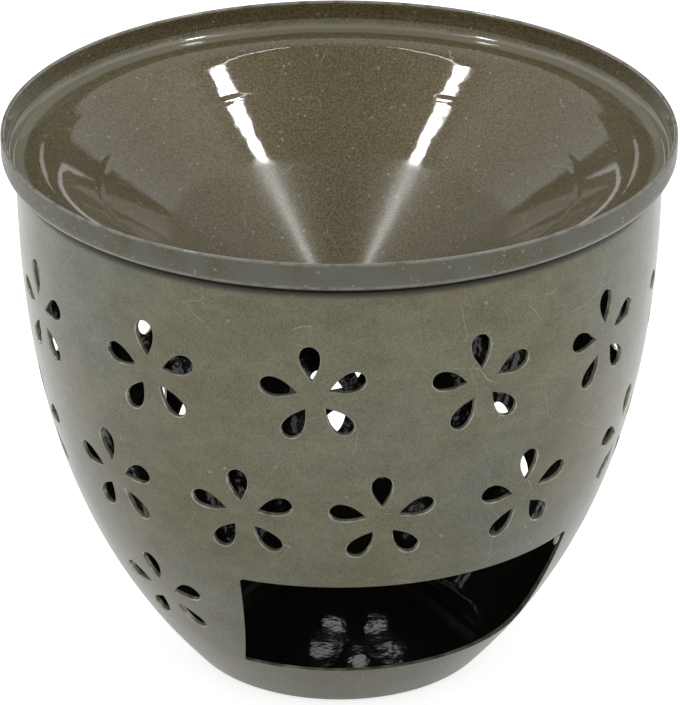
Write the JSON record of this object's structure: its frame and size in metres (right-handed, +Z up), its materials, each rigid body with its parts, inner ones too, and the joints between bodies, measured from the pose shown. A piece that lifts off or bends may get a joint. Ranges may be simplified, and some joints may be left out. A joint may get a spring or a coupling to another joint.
{
  "type": "oil burner",
  "caption": "Round perforated metal oil burner with a low candle window and a lift-off conical oil dish.",
  "frame": {"origin": "centre of the flat foot, on the surface it stands on", "axes": "+Z up along the burner's axis, -Y out of the candle window, +X to the right seen from the window side"},
  "size_m": [0.12, 0.12, 0.1017],
  "materials": {
    "body_lacquer": "satin olive-grey metallic lacquer over steel sheet, black and glossy inside",
    "dish_lacquer": "glossy brown-olive metallic lacquer over steel sheet"
  },
  "bodies": {
    "burner": {"burner_body": "body_lacquer"},
    "dish": {"oil_dish": "dish_lacquer"}
  },
  "joints": [
    {"name": "dish_lift", "type": "slide", "parent": "burner", "child": "dish", "axis": [0, 0, 1], "range_m": [0, 0.06]}
  ]
}
